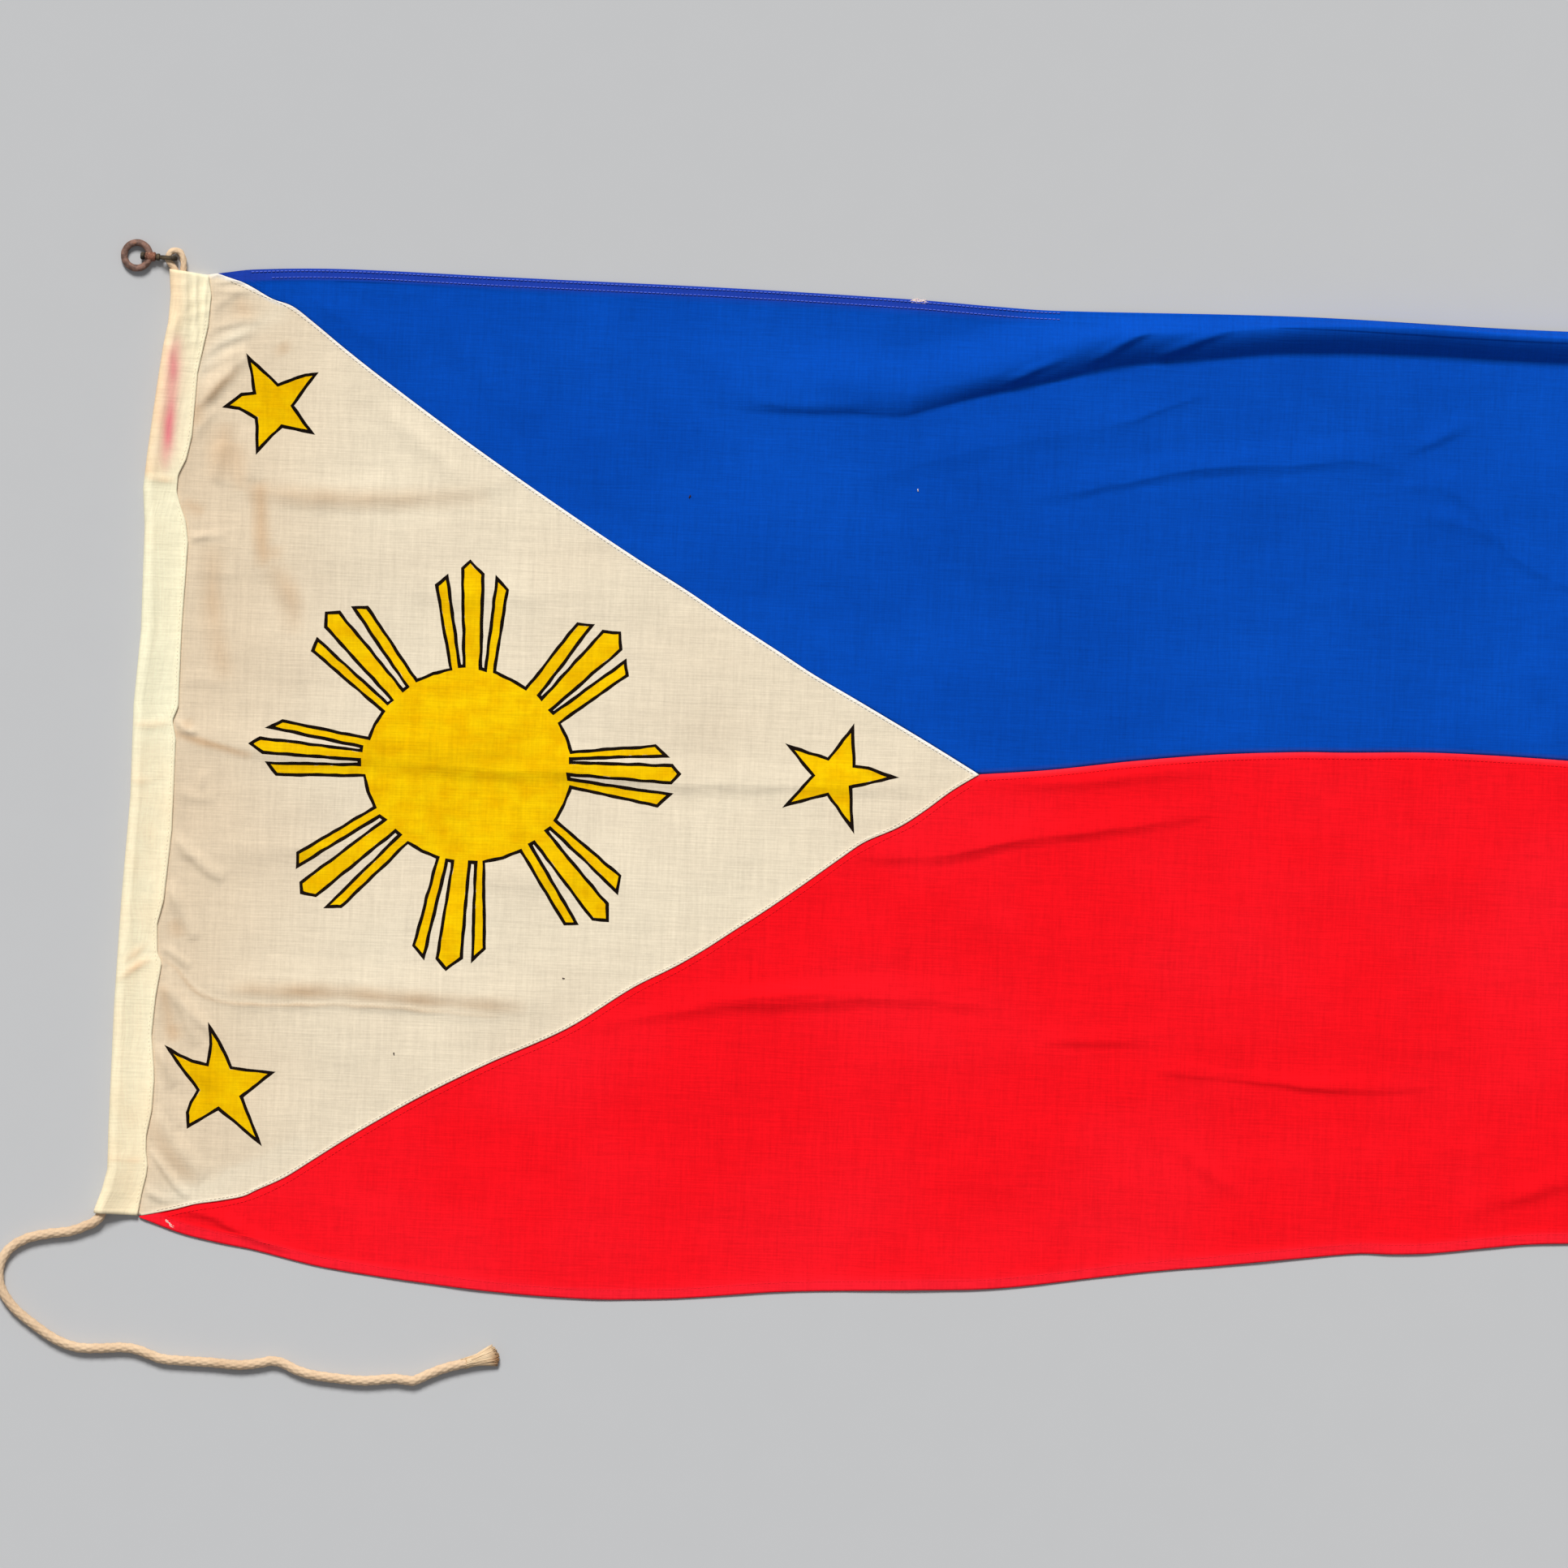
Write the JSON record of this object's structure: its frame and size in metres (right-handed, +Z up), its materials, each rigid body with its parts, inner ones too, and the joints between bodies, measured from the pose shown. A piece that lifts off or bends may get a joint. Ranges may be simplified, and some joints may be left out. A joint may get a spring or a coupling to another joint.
{
  "type": "sewn cotton flag",
  "caption": "Cotton flag of two bands and a hoist triangle, laid out with its folds, with a canvas heading, a rope sewn in it, a loose rope tail and a swivel ring.",
  "frame": {"origin": "on the surface the flag lies on, under the middle of the flag and its ring, leaving the loose rope tail out", "axes": "+X along the fly, away from the heading; +Y up the hoist, from the red band to the blue band; +Z up from the surface"},
  "size_m": [1.4557, 0.8255, 0.0162],
  "materials": {
    "undyed_cotton": "plain weave, undyed, aged, with printed yellow and black",
    "blue_cotton": "plain weave, dyed blue",
    "red_cotton": "plain weave, dyed red",
    "canvas": "close plain weave, aged cream",
    "rope": "braided cotton, aged",
    "rusty_iron": "worn, rusted brown"
  },
  "bodies": {
    "root": {"triangle_panel": "undyed_cotton", "blue_panel": "blue_cotton", "red_panel": "red_cotton", "heading": "canvas", "hoist_rope": "rope", "rope_eye": "rope", "rope_tail": "rope", "frayed_end": "rope", "clip_ring": "rusty_iron", "swivel": "rusty_iron"}
  },
  "joints": []
}
